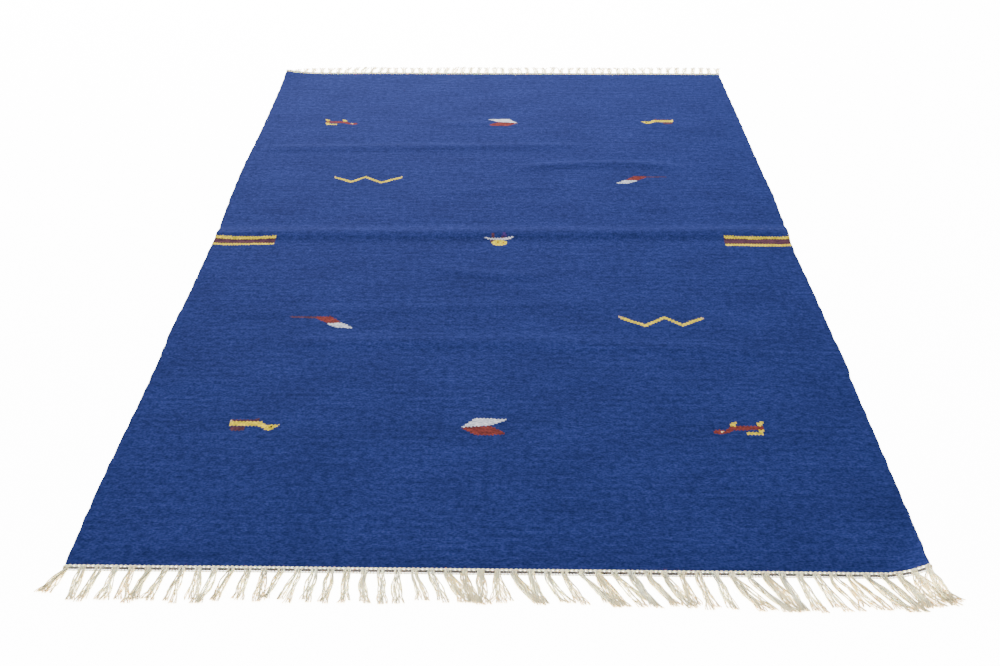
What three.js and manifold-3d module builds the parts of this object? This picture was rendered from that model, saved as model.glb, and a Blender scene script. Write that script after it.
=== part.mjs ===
// A flat-woven kilim rug lying on a floor: its woven cloth, and a knotted fringe at each short end.
// Millimetres, +Z up. The origin is on the floor under the middle of the rug, and +Y runs along the
// rug from the near short end to the far one.

import * as THREE from "three";
import { mergeVertices } from "three/addons/utils/BufferGeometryUtils.js";
import Module from "manifold-3d";

const wasm = await Module();
wasm.setup();

// Cloth
const WIDTH = 1400;
const LENGTH = 2000;
const THICKNESS = 2.6;
const HALF_WIDTH = WIDTH / 2;
const HALF_LENGTH = LENGTH / 2;
const NEAR_EDGE_SKEW = 8; // the near end runs this much out of square, longest at the right
const PART_GAP = 0.3; // between the cloth and each fringe

// How far each selvedge stands out (+) or draws in (-) along the rug
const SELVEDGES = [
  { y: -1000, left: 0, right: 0 },
  { y: -850, left: 2, right: 0 },
  { y: -530, left: -3, right: 0 },
  { y: -470, left: -3, right: 4 },
  { y: -370, left: 0, right: 1 },
  { y: -240, left: -4, right: 0 },
  { y: -45, left: -5, right: -4 },
  { y: 15, left: -8, right: -2 },
  { y: 110, left: -2, right: 1 },
  { y: 220, left: 2, right: 4 },
  { y: 350, left: 4, right: 1 },
  { y: 600, left: 0, right: 0 },
  { y: 1000, left: 1, right: -3 },
];

// Soft folds left by storing the rug folded: each runs from one x to another along a bent line of y,
// rises gently on its far side and drops more steeply on its near side
const FOLDS = [
  { from: -500, to: 720, yFrom: -396, yMiddle: -404, yTo: -462, height: 4.0, far: 42, near: 34, fade: 160 },
  { from: -660, to: 300, yFrom: -318, yMiddle: -286, yTo: -262, height: 3.0, far: 28, near: 28, fade: 140 },
  { from: -190, to: 140, yFrom: -120, yMiddle: -158, yTo: -156, height: 3.2, far: 24, near: 26, fade: 90 },
  { from: -900, to: 900, yFrom: 34, yMiddle: 47, yTo: 78, height: 7.5, far: 58, near: 36, fade: 420 },
  { from: 0, to: 520, yFrom: 350, yMiddle: 388, yTo: 366, height: 4.6, far: 26, near: 44, fade: 120 },
  { from: -720, to: 280, yFrom: 474, yMiddle: 486, yTo: 500, height: 3.8, far: 26, near: 40, fade: 200 },
];

// Corners that stand off the floor, with how far the lift reaches along the end and along the side
const LIFTED_CORNERS = [
  { side: 1, end: -1, height: 19, alongEnd: 78, alongSide: 120 },
  { side: -1, end: 1, height: 11, alongEnd: 105, alongSide: 130 },
];
const CURL = 0.3; // how far a lifted corner draws in, as a share of its height

// Grid of the cloth's faces
const COLUMN_STEPS = [0, 20, 44, 72, 110, 165]; // from each selvedge inwards
const INNER_COLUMNS = 14;
const END_ROWS = [24, 52, 84, 122]; // from each end inwards
const LONGEST_ROW_STEP = 90;

// Fringe: a cord against the cloth, a row of slots, a lower cord, and pairs of strands at each knot
const BUNCHES = 53;
const FIRST_BUNCH = 696; // from the middle of the rug to the outermost knots
const BUNCH_PITCH = (2 * FIRST_BUNCH) / (BUNCHES - 1);
const KNOT_WIDTH = 10.5;
const CORD_WIDTH = 5;
const SLOT_HEIGHT = 3.8;
const LOWER_CORD_WIDTH = 3.6;
const CORD_THICKNESS = 3;
const LOWER_CORD_THICKNESS = 2.6;
const STRIP_WIDTH = CORD_WIDTH + SLOT_HEIGHT + LOWER_CORD_WIDTH;
const END_REACH = 1082; // the fringes are trimmed at this distance from the middle
const SIDE_REACH = 737; // and the corner strands spread this far
const STRAND_WIDTH = 2.8;
const STRAND_THICKNESS = 2.3;
const STRAND_ROOT_SPREAD = 3.1; // of a pair, each way from the knot's middle
const OUTERMOST_ROOT = HALF_WIDTH - STRAND_WIDTH / 2;
const STRAND_TIP_SPREAD = 4.6;
const SHORTEST_STRAND = 0.84; // share of the way to where the fringe is trimmed
const STRAND_BOW = 0.12; // how far a leaning strand bows, as a share of its sideways reach
const STRAND_TIP_SPACING = 5; // least distance between tips side by side
const STRAND_STATIONS = [0, 0.22, 0.55, 1]; // shares of the length where a strand bends
const STRAND_LANDS = 0.8; // share of the length by which a raised strand is down on the floor

// Which way the strands lie, as the sideways reach of their tips at a place along the end
const NEAR_LEAN = [
  { x: -700, lean: -38 },
  { x: -668, lean: -6 },
  { x: -600, lean: 2 },
  { x: -545, lean: 9 },
  { x: -490, lean: -11 },
  { x: -430, lean: 8 },
  { x: -390, lean: -14 },
  { x: -330, lean: 5 },
  { x: -290, lean: -12 },
  { x: -200, lean: -4 },
  { x: -130, lean: 12 },
  { x: -50, lean: 31 },
  { x: 40, lean: 6 },
  { x: 100, lean: 50 },
  { x: 250, lean: 52 },
  { x: 320, lean: 44 },
  { x: 350, lean: 20 },
  { x: 410, lean: 50 },
  { x: 485, lean: 15 },
  { x: 590, lean: 46 },
  { x: 640, lean: 26 },
  { x: 700, lean: 38 },
];
const FAR_LEAN = [
  { x: -700, lean: -30 },
  { x: -600, lean: -6 },
  { x: -450, lean: 12 },
  { x: -300, lean: -8 },
  { x: -120, lean: 10 },
  { x: 60, lean: -9 },
  { x: 240, lean: 14 },
  { x: 400, lean: -6 },
  { x: 560, lean: 12 },
  { x: 700, lean: 28 },
];

const WOOL_BLUE = new THREE.MeshStandardMaterial({ color: 0x33508b, roughness: 0.95, metalness: 0 });
const COTTON_WHITE = new THREE.MeshStandardMaterial({ color: 0xe6dfcc, roughness: 0.9, metalness: 0 });

const smooth = (t) => {
  const s = THREE.MathUtils.clamp(t, 0, 1);
  return s * s * (3 - 2 * s);
};

// The value of one column of a table at a place between its rows
function between(rows, column, key, at) {
  const last = rows[rows.length - 1];
  if (at <= rows[0][column]) return rows[0][key];
  if (at >= last[column]) return last[key];
  const next = rows.findIndex((row) => row[column] > at);
  const before = rows[next - 1];
  const share = smooth((at - before[column]) / (rows[next][column] - before[column]));
  return THREE.MathUtils.lerp(before[key], rows[next][key], share);
}

// A fold's crest line: a parabola through its two ends and its middle
function crestLine(fold, x) {
  const t = THREE.MathUtils.clamp((x - fold.from) / (fold.to - fold.from), 0, 1);
  const first = fold.yFrom * (1 - t) * (1 - 2 * t);
  const second = fold.yMiddle * 4 * t * (1 - t);
  const third = fold.yTo * t * (2 * t - 1);
  return first + second + third;
}

function foldHeight(fold, x, y) {
  const off = y - crestLine(fold, x);
  const reach = off > 0 ? fold.far : fold.near;
  if (Math.abs(off) >= reach) return 0;
  const ends = smooth((x - fold.from) / fold.fade) * smooth((fold.to - x) / fold.fade);
  return fold.height * ends * 0.5 * (1 + Math.cos((Math.PI * off) / reach));
}

function cornerLift(corner, x, y) {
  const inFromSide = Math.max(0, HALF_WIDTH - corner.side * x) / corner.alongEnd;
  const inFromEnd = Math.max(0, HALF_LENGTH - corner.end * y) / corner.alongSide;
  return corner.height * Math.max(0, 1 - inFromSide - inFromEnd) ** 1.6;
}

// Height of the cloth's underside over the floor
const rise = (x, y) =>
  FOLDS.reduce((sum, fold) => sum + foldHeight(fold, x, y), 0) +
  LIFTED_CORNERS.reduce((sum, corner) => sum + cornerLift(corner, x, y), 0);

// From a place on the flat, square rug to where it lies: swayed selvedges, skewed end, lifted corners
function plan(x, y) {
  const sway = x < 0 ? -between(SELVEDGES, "y", "left", y) : between(SELVEDGES, "y", "right", y);
  const nearShare = THREE.MathUtils.clamp((HALF_LENGTH - y) / LENGTH, 0, 1);
  const place = new THREE.Vector2(
    x + (sway * Math.abs(x)) / HALF_WIDTH,
    y - (NEAR_EDGE_SKEW * nearShare * x) / WIDTH,
  );
  for (const corner of LIFTED_CORNERS) {
    const drawn = CURL * cornerLift(corner, x, y);
    place.x -= corner.side * drawn;
    place.y -= corner.end * drawn;
  }
  return place;
}

function lay(x, y, z) {
  const place = plan(x, y);
  return new THREE.Vector3(place.x, place.y, z + rise(x, y));
}

// A closed mesh from quads, each a list of four points anticlockwise from outside
function meshOfQuads(quads) {
  const points = quads.flatMap(([a, b, c, d]) => [a, b, c, a, c, d]);
  const shell = new THREE.BufferGeometry().setFromPoints(points);
  return mergeVertices(shell, 1e-3);
}

// A slab over a grid of columns and rows, with the cells left open where isOpen says so
function slab(columns, rows, isOpen, topOf) {
  const low = (i, j) => lay(columns[i], rows[j](columns[i]), 0);
  const high = (i, j) => lay(columns[i], rows[j](columns[i]), topOf(i, j));
  const filled = (i, j) =>
    i >= 0 && j >= 0 && i < columns.length - 1 && j < rows.length - 1 && !isOpen(i, j);
  const wall = (i, j, k, l) => [low(i, j), low(k, l), high(k, l), high(i, j)];
  const quads = [];
  for (let i = 0; i < columns.length - 1; i++) {
    for (let j = 0; j < rows.length - 1; j++) {
      if (!filled(i, j)) continue;
      quads.push([high(i, j), high(i + 1, j), high(i + 1, j + 1), high(i, j + 1)]);
      quads.push([low(i, j), low(i, j + 1), low(i + 1, j + 1), low(i + 1, j)]);
      if (!filled(i, j - 1)) quads.push(wall(i, j, i + 1, j));
      if (!filled(i + 1, j)) quads.push(wall(i + 1, j, i + 1, j + 1));
      if (!filled(i, j + 1)) quads.push(wall(i + 1, j + 1, i, j + 1));
      if (!filled(i - 1, j)) quads.push(wall(i, j + 1, i, j));
    }
  }
  return meshOfQuads(quads);
}

// The cloth's rows follow the folds: foot, slope and crest of each, and even steps in between
function clothRows() {
  const lines = [() => -HALF_LENGTH];
  END_ROWS.forEach((step) => lines.push(() => step - HALF_LENGTH));
  for (const fold of FOLDS) {
    const offsets = [-fold.near, -fold.near / 2, 0, fold.far / 2, fold.far];
    offsets.forEach((offset) => lines.push((x) => crestLine(fold, x) + offset));
  }
  [...END_ROWS].reverse().forEach((step) => lines.push(() => HALF_LENGTH - step));
  lines.push(() => HALF_LENGTH);
  const rows = [lines[0]];
  for (let k = 1; k < lines.length; k++) {
    const before = lines[k - 1];
    const steps = Math.ceil((lines[k](0) - before(0)) / LONGEST_ROW_STEP);
    for (let s = 1; s <= steps; s++) {
      rows.push((x) => THREE.MathUtils.lerp(before(x), lines[k](x), s / steps));
    }
  }
  return rows;
}

function clothColumns() {
  const edge = COLUMN_STEPS.map((step) => step - HALF_WIDTH);
  const start = edge[edge.length - 1];
  const inner = [];
  for (let k = 1; k < INNER_COLUMNS; k++) inner.push(start * (1 - (2 * k) / INNER_COLUMNS));
  return [...edge, ...inner, ...edge.map((x) => -x).reverse()];
}

function makeCloth() {
  return slab(
    clothColumns(),
    clothRows(),
    () => false,
    () => THICKNESS,
  );
}

const solidOf = (geometry) =>
  new wasm.Manifold(
    new wasm.Mesh({
      numProp: 3,
      vertProperties: geometry.attributes.position.array,
      triVerts: new Uint32Array(geometry.index.array),
    }),
  );

function geometryOf(solid) {
  const mesh = solid.getMesh();
  const geometry = new THREE.BufferGeometry();
  geometry.setAttribute("position", new THREE.BufferAttribute(mesh.vertProperties, 3));
  geometry.setIndex(new THREE.BufferAttribute(mesh.triVerts, 1));
  return geometry;
}

const bunchPlace = (k) => k * BUNCH_PITCH - FIRST_BUNCH;

// The ladder of an end: two cords joined at the knots, with a slot between each two knots
function ladder(end) {
  const columns = [];
  for (let k = 0; k < BUNCHES; k++) {
    columns.push(Math.max(bunchPlace(k) - KNOT_WIDTH / 2, -HALF_WIDTH));
    columns.push(Math.min(bunchPlace(k) + KNOT_WIDTH / 2, HALF_WIDTH));
  }
  const edge = HALF_LENGTH + PART_GAP;
  const outwards = [0, CORD_WIDTH, CORD_WIDTH + SLOT_HEIGHT, STRIP_WIDTH];
  const places = outwards.map((step) => end * (edge + step));
  if (end < 0) places.reverse();
  const tops = [CORD_THICKNESS, CORD_THICKNESS, LOWER_CORD_THICKNESS, LOWER_CORD_THICKNESS];
  if (end < 0) tops.reverse();
  return slab(
    columns,
    places.map((y) => () => y),
    (i, j) => j === 1 && i % 2 === 1,
    (i, j) => tops[j],
  );
}

// A repeatable spread of values from 0 to 1 for uneven lengths
const uneven = (k) => Math.abs((Math.sin(k * 12.9898 + 4.1) * 43758.5453) % 1);

// Where the strands of an end start, where their lines end, and how much of it they run, left to right
function strandsOf(end, leanRows) {
  const strands = [];
  let lastTip = -Infinity;
  for (let k = 0; k < BUNCHES; k++) {
    for (const half of [-1, 1]) {
      const root = bunchPlace(k) + half * STRAND_ROOT_SPREAD;
      const lean = between(leanRows, "x", "lean", root);
      const wanted = bunchPlace(k) + half * STRAND_TIP_SPREAD + lean;
      const toTheRight = 2 * (BUNCHES - 1 - k) + (half < 0 ? 1 : 0);
      const furthest = SIDE_REACH - toTheRight * STRAND_TIP_SPACING;
      const tip = Math.min(Math.max(wanted, -SIDE_REACH, lastTip + STRAND_TIP_SPACING), furthest);
      const atCorner = k === 0 || k === BUNCHES - 1;
      const length = atCorner ? 1 : THREE.MathUtils.lerp(SHORTEST_STRAND, 1, uneven(2 * k + half + end));
      strands.push({ root: THREE.MathUtils.clamp(root, -OUTERMOST_ROOT, OUTERMOST_ROOT), tip, length });
      lastTip = tip;
    }
  }
  return strands;
}

// One strand: a three-sided yarn that lies on its flat side
function strandShape(strand, end) {
  const start = HALF_LENGTH + PART_GAP + STRIP_WIDTH - LOWER_CORD_WIDTH / 2;
  const from = plan(strand.root, end * start);
  const to = new THREE.Vector2(strand.tip, end * END_REACH);
  const across = new THREE.Vector2(to.y - from.y, from.x - to.x).normalize();
  if (across.x < 0) across.negate();
  const raised = rise(strand.root, end * start);
  const sections = STRAND_STATIONS.map((share) => {
    const along = share * strand.length;
    const sideways = along - STRAND_BOW * Math.sin(Math.PI * along);
    const middle = new THREE.Vector2(
      THREE.MathUtils.lerp(from.x, to.x, sideways),
      THREE.MathUtils.lerp(from.y, to.y, along),
    );
    const base = raised * (1 - smooth(share / STRAND_LANDS));
    const left = middle.clone().addScaledVector(across, -STRAND_WIDTH / 2);
    const right = middle.clone().addScaledVector(across, STRAND_WIDTH / 2);
    return [
      new THREE.Vector3(left.x, left.y, base),
      new THREE.Vector3(right.x, right.y, base),
      new THREE.Vector3(middle.x, middle.y, base + STRAND_THICKNESS),
    ];
  });
  const points = [];
  const face = (a, b, c) => (end < 0 ? points.push(a, c, b) : points.push(a, b, c));
  for (let s = 0; s < sections.length - 1; s++) {
    for (let c = 0; c < 3; c++) {
      const [a, b] = [sections[s][c], sections[s][(c + 1) % 3]];
      const [d, e] = [sections[s + 1][c], sections[s + 1][(c + 1) % 3]];
      face(a, d, e);
      face(a, e, b);
    }
  }
  face(...sections[0]);
  const [p, q, r] = sections[sections.length - 1];
  face(p, r, q);
  return mergeVertices(new THREE.BufferGeometry().setFromPoints(points), 1e-3);
}

function makeFringe(end, leanRows) {
  let fringe = solidOf(ladder(end));
  for (const strand of strandsOf(end, leanRows)) {
    fringe = fringe.add(solidOf(strandShape(strand, end)));
  }
  return geometryOf(fringe);
}

function piece(name, geometry, material) {
  const mesh = new THREE.Mesh(geometry, material);
  mesh.name = name;
  return mesh;
}

const rug = new THREE.Group();
rug.add(piece("cloth", makeCloth(), WOOL_BLUE));
rug.add(piece("fringe_near", makeFringe(-1, NEAR_LEAN), COTTON_WHITE));
rug.add(piece("fringe_far", makeFringe(1, FAR_LEAN), COTTON_WHITE));

export default rug;
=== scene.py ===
# %% [markdown]
# # A flat-woven kilim on a floor
# A kilim is a rug without pile. Wool wefts are beaten down so hard over cotton warps that only the wool
# shows, and the warps come out at both ends as a knotted fringe. This lesson takes the plain solids of
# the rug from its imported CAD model, and dresses them: first the cloth, then its edges, then the fringe.

# %% Load the frame
import math
import random

import bpy
import numpy as np
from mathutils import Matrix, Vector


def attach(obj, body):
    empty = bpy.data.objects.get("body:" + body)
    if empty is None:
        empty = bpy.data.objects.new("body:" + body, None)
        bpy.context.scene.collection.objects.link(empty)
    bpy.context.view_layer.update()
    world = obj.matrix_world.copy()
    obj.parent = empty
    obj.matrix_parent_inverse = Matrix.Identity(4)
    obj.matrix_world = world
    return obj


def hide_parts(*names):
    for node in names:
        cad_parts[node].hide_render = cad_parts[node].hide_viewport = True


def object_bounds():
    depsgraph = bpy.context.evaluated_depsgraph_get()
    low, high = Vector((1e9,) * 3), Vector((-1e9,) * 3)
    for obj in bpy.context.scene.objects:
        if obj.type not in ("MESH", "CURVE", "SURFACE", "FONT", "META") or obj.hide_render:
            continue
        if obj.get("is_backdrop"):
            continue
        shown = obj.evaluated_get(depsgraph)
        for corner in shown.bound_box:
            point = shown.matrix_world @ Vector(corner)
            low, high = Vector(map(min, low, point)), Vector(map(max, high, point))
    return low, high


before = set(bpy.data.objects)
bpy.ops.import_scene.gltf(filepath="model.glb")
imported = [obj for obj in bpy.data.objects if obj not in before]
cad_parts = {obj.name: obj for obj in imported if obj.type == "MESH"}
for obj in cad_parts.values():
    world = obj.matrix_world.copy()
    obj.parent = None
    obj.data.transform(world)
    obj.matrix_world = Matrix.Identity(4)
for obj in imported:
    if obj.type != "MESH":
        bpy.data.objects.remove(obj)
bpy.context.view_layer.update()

# %% [markdown]
# ## Sizes from the model
# Every size is in metres. The ground's size and thickness, the skew of its near edge, the cords, the slots
# and the places of the bunches are those of the CAD source. The folds, how far the lifted corners are drawn
# in and how far the fringe spreads were set again from the photograph after the solids were finished, so
# there the dressed rug and its solids differ: the main crest by 25 to 46 mm, the rest by less. A soft
# unevenness of up to 1 mm is added that the solids leave out.

# %% Sizes
MM = 0.001
WIDTH, LENGTH, THICKNESS = 1.4, 2.0, 2.6 * MM
HALF_WIDTH, HALF_LENGTH = WIDTH / 2, LENGTH / 2
NEAR_EDGE_SKEW = 8 * MM

# %% Side edges
# Rows of (y, how far the edge stands out), in millimetres
LEFT_EDGE = [
    (-1000, 0), (-850, 2), (-530, -3), (-470, -3), (-370, 0), (-240, -4), (-45, -5), (15, -8),
    (110, -2), (220, 2), (350, 4), (600, 0), (1000, 1),
]
RIGHT_EDGE = [
    (-1000, 0), (-850, 0), (-530, 0), (-470, 4), (-370, 1), (-240, 0), (-45, -4), (15, -2),
    (110, 1), (220, 4), (350, 1), (600, 0), (1000, -3),
]

# %% Folds
# Each runs from one x to another along a bent line of y (its two ends and its middle), and has a height,
# a reach on its far and on its near side, and a length over which it fades in. Millimetres.
FOLDS = [
    (-500, 620, -418, -410, -450, 4.4, 40, 32, 160),
    (-660, 300, -318, -286, -262, 1.6, 28, 28, 140),
    (-190, 140, -120, -158, -156, 3.8, 26, 26, 90),
    (-900, 900, 9, 18, 32, 8.6, 48, 32, 300),
    (0, 520, 350, 386, 366, 5.2, 24, 32, 120),
    (-720, 280, 472, 484, 498, 4.2, 26, 34, 160),
]
# Slighter creases that the solids leave out
CREASES = [
    (-200, -10, 634, 638, 634, 2.2, 18, 24, 60),
    (-190, 150, 214, 240, 262, 1.5, 24, 34, 80),
    (-60, 170, 178, 172, 150, 1.1, 18, 30, 70),
    (-720, -500, -552, -546, -548, 1.5, 18, 22, 50),
    (90, 250, -522, -518, -524, 1.2, 18, 20, 50),
    (-700, -120, -14, -12, -8, 1.0, 12, 14, 120),
    (260, 700, 150, 158, 176, 0.9, 24, 30, 120),
]
# (side, end, height, reach along the end, reach along the side, and how far it is drawn in across and
# along the rug for each millimetre that it is lifted)
LIFTED_CORNERS = [(1, -1, 19, 86, 130, 0.6, 0.25), (-1, 1, 11, 105, 130, 0.1, 0.3)]
LIFT_TAPER = 1.9

# %% Soft unevenness
# Waves of (radians per metre across and along, phase, share of the height)
LIE_WAVES = [(14, 31, 0.7, 1.0), (-9, 47, 2.1, 1.0), (23, -19, 4.0, 1.0), (6, 83, 0.0, 0.6)]
LIE_HEIGHT, EDGE_WAVER = 0.14 * MM, 0.5 * MM

# %% [markdown]
# ## From the loom to the floor
# The rug is made flat and square, as on its loom, and then laid: one function moves any point of the
# flat rug to where it lies on the floor. Cloth, cords and fringe all go through it, so they stay
# together wherever a fold passes under them. Working on whole arrays of points keeps it fast.

# %% Easing and tables
def smooth(t):
    s = np.clip(t, 0.0, 1.0)
    return s * s * (3 - 2 * s)


def between(rows, at):
    """A table's value at each place, eased from row to row."""
    places, values = np.array(rows, float).T
    at = np.clip(at, places[0], places[-1])
    k = np.clip(np.searchsorted(places, at, side="right") - 1, 0, len(places) - 2)
    share = smooth((at - places[k]) / (places[k + 1] - places[k]))
    return values[k] + (values[k + 1] - values[k]) * share


# %% Height of the cloth over the floor
def fold_height(fold, x, y):
    x_from, x_to, y_from, y_middle, y_to, height, far, near, fade = [v * MM for v in fold]
    t = np.clip((x - x_from) / (x_to - x_from), 0, 1)
    crest = y_from * (1 - t) * (1 - 2 * t) + y_middle * 4 * t * (1 - t) + y_to * t * (2 * t - 1)
    off = y - crest
    share = np.clip(off / np.where(off > 0, far, near), -1, 1)
    ends = smooth((x - x_from) / fade) * smooth((x_to - x) / fade)
    return height * ends * 0.5 * (1 + np.cos(np.pi * share))


def corner_lift(corner, x, y):
    side, end, height, along_end, along_side, _, _ = corner
    from_side = np.maximum(0, HALF_WIDTH - side * x) / (along_end * MM)
    from_end = np.maximum(0, HALF_LENGTH - end * y) / (along_side * MM)
    return height * MM * np.maximum(0, 1 - from_side - from_end) ** LIFT_TAPER


def lie(x, y):
    """A soft unevenness, up to 1 mm high, that runs mostly along the wefts."""
    total = sum(share for *_, share in LIE_WAVES)
    for across, along, phase, share in LIE_WAVES:
        total = total + share * np.sin(across * x + along * y + phase)
    return LIE_HEIGHT * total


def rise(x, y):
    total = lie(x, y)
    for fold in FOLDS + CREASES:
        total = total + fold_height(fold, x, y)
    for corner in LIFTED_CORNERS:
        total = total + corner_lift(corner, x, y)
    return total


# %% Place on the floor
def plan(x, y):
    sway = np.where(x < 0, -between(LEFT_EDGE, y / MM), between(RIGHT_EDGE, y / MM)) * MM
    sway = sway + EDGE_WAVER * np.sign(x) * (np.sin(151 * y + x) + np.sin(97 * y - 2 * x))
    near_share = np.clip((HALF_LENGTH - y) / LENGTH, 0, 1)
    laid_x = x + sway * np.abs(x) / HALF_WIDTH
    laid_y = y - NEAR_EDGE_SKEW * near_share * x / WIDTH
    for corner in LIFTED_CORNERS:
        side, end, *_, curl_across, curl_along = corner
        lifted = corner_lift(corner, x, y)
        laid_x = laid_x - side * curl_across * lifted
        laid_y = laid_y - end * curl_along * lifted
    return laid_x, laid_y


def lay(x, y, z):
    """Places on the floor for points of the flat rug, as rows of x, y, z."""
    x, y, z = np.broadcast_arrays(*[np.asarray(v, float) for v in (x, y, z)])
    laid_x, laid_y = plan(x, y)
    return np.stack([laid_x, laid_y, z + rise(x, y)], axis=-1)


corners = lay([-0.7, 0.7, 0.7, -0.7], [-1, -1, 1, 1], 0.0)
print("corners on the floor", np.round(corners, 4).tolist())

# %% [markdown]
# ## Yarn colours
# The wools are dyed in the skein: one strong blue for the ground, and golden yellow, brick red, maroon
# and natural white for the figures. The hex values are what the eye sees, and shaders work with linear
# light, so one function turns each of them over.

# %% Dyes
def linear(hex_colour):
    parts = [int(hex_colour[k:k + 2], 16) / 255 for k in (1, 3, 5)]
    return [v / 12.92 if v <= 0.04045 else ((v + 0.055) / 1.055) ** 2.4 for v in parts]


DYES = {
    "blue": "#222c60",
    "yellow": "#d0b826",
    "brick": "#6d312e",
    "maroon": "#4c2f3b",
    "white": "#c0c2cc",
    "pale": "#c4a67c",
    "dark": "#3c1c18",
    "golden": "#a8700f",
    "plum": "#3d2a62",
}
YARNS = list(DYES)
YARN_COLOURS = np.array([linear(h) + [1.0] for h in DYES.values()])
print(len(YARNS), "dyes:", ", ".join(YARNS))

# %% [markdown]
# ## Figures on the loom's own grid
# In a kilim a figure is not printed on but woven in: its edge can only go up by whole wefts and across
# by whole warps, which makes slanting edges climb in small steps and level edges run in small teeth.
# So each figure is charted as a few simple shapes in millimetres, whose corners were read from the
# photograph, and the chart is then asked, cell by cell of the loom, which yarn lies there. The figures
# are common kilim fillers: small animals, leaves, darts and zigzags.

# %% Charts of the figures
def oval(x, y, across, up, points=14):
    turns = [2 * math.pi * k / points for k in range(points)]
    return [(x + across * math.cos(t), y + up * math.sin(t)) for t in turns]


def band(line, thickness):
    upper = [(x, y + thickness / 2) for x, y in line]
    lower = [(x, y - thickness / 2) for x, y in reversed(line)]
    return upper + lower


SNAKE = [
    ("maroon", [(3, 14), (54, 14), (54, 18), (3, 18)]),
    ("yellow", [(0, 1), (0, 14.4), (58, 14.4), (70.6, 4), (95, 5.6), (80.6, -10.6), (73, -9.6), (55, 1)]),
    ("maroon", [(3, -0.2), (31, -0.2), (29, -11), (6, -12)]),
    ("pale", [(0, 14.4), (3.4, 14.4), (3.4, 19), (0, 19)]),
    ("dark", oval(79, -0.6, 3, 2.4)),
    ("maroon", oval(50.6, 20.5, 3, 2)),
]
LEAF_PAIR = [
    ("white", [(0, 0), (26, 27), (85, 24.5), (85, 22), (55.6, 7), (10, 2)]),
    ("brick", [(0, -1), (10, 2), (55.6, 5.6), (82, -12), (80, -18), (29, -20), (7, -6)]),
]
LIZARD = [
    ("brick", oval(12, 8, 11.5, 6.2)),
    ("brick", [(19, 3.5), (24, 13), (34, 24), (41, 25), (94, 25), (94, 15.5), (70, 14), (44, 13),
               (38, 12.5), (30, 6)]),
    ("pale", oval(16, 9, 3.8, 2.2)),
    ("yellow", [(34, 30), (44, 37), (47.5, 32.5), (42, 22.5), (34.5, 25)]),
    ("yellow", [(83.5, 32.5), (97, 38.7), (97.5, 35), (93, 26), (83.5, 25)]),
    ("yellow", [(59.7, 4), (61, 7.4), (83.5, 8), (84.5, 15), (95, 15.5), (91.5, 1), (62, 1)]),
]
DART = [
    ("maroon", [(0, 42), (56, 42), (56, 36), (2, 38)]),
    ("brick", [(55, 43), (88, 43.7), (113, 20.5), (82, 18.7), (57, 35)]),
    ("white", [(82, 18.8), (113, 20.4), (138, 6.4), (137, 2.6), (106, 3), (86, 13)]),
]
ZIGZAG = [
    ("yellow", band([(0, 33.5), (53, 4.5), (97, 34), (132, 6.5), (177.5, 31.5)], 9)),
    ("pale", [(-2, 31), (3, 31), (3, 37.5), (-2, 37.5)]),
    ("pale", [(176, 29), (180.5, 29), (180.5, 35.5), (176, 35.5)]),
]
BOAT = [
    ("maroon", [(14, 31), (22.6, 31), (20, 46), (16, 44)]),
    ("plum", [(38, 31), (52, 31), (48, 49), (41, 46)]),
    ("maroon", oval(41, 33, 4.5, 2.6)),
    ("white", [(-4, 31), (6, 27.5), (16, 25.5), (52, 26), (62, 30), (70, 35), (69, 37), (54, 32.5),
               (36, 30.5), (14, 30), (-2, 33.5)]),
    ("maroon", [(12, 15), (23.5, 20), (23.5, 25), (12, 25)]),
    ("yellow", oval(33.6, 13.5, 19, 12.6)),
    ("golden", oval(29.3, 15.4, 2.6, 3.6)),
    ("golden", oval(42.8, 14, 2.6, 3.6)),
]
STRIPES_LEFT = [
    ("yellow", [(-712, 0), (-690, -1), (-640, -5), (-600, -4.5), (-549, -1), (-549, -8.5), (-600, -12.5),
                (-640, -13.5), (-690, -9.5), (-712, -8)]),
    ("maroon", [(-712, -8), (-690, -9.5), (-640, -13.5), (-600, -12.5), (-549, -8.5), (-549, -25.5),
                (-600, -27), (-650, -29), (-690, -27), (-712, -25)]),
    ("yellow", [(-712, -25), (-690, -27), (-650, -29), (-600, -27), (-549, -25.5), (-549, -32),
                (-600, -33.5), (-650, -37), (-690, -35), (-712, -33)]),
]
STRIPES_RIGHT = [
    ("yellow", [(540, 11), (600, 9), (680, 9.5), (712, 15), (712, 7), (684, 2), (600, 1.5), (540, 3.5)]),
    ("maroon", [(540, 3.5), (600, 1.5), (684, 2), (712, 7), (712, -16), (680, -20.5), (600, -20),
                (540, -19)]),
    ("yellow", [(540, -19), (600, -20), (680, -20.5), (712, -16), (712, -25), (680, -29.5), (600, -29),
                (540, -27.5)]),
]

# %% Where the figures stand
# (chart, x and y of its origin in millimetres, 1 or -1 if it is mirrored from left to right)
PLACED = [
    (SNAKE, -510, -671, 1), (LEAF_PAIR, -72, -670, 1), (LIZARD, 401, -684, 1),
    (DART, -454, -365, 1), (ZIGZAG, 257, -352, 1),
    (STRIPES_LEFT, 0, 0, 1), (BOAT, -38, -33, 1), (STRIPES_RIGHT, 0, 0, 1),
    (ZIGZAG, -266, 272, -1), (DART, 440, 274, -1),
    (LIZARD, -425, 622, -1), (LEAF_PAIR, 44, 639, -1), (SNAKE, 503, 647, -1),
]
SHAPES = []
for chart, origin_x, origin_y, facing in PLACED:
    for yarn, outline in chart:
        placed = [((origin_x + facing * x) * MM, (origin_y + y) * MM) for x, y in outline]
        SHAPES.append((YARNS.index(yarn), np.array(placed)))
print(len(PLACED), "figures of", len(SHAPES), "charted shapes")


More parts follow.
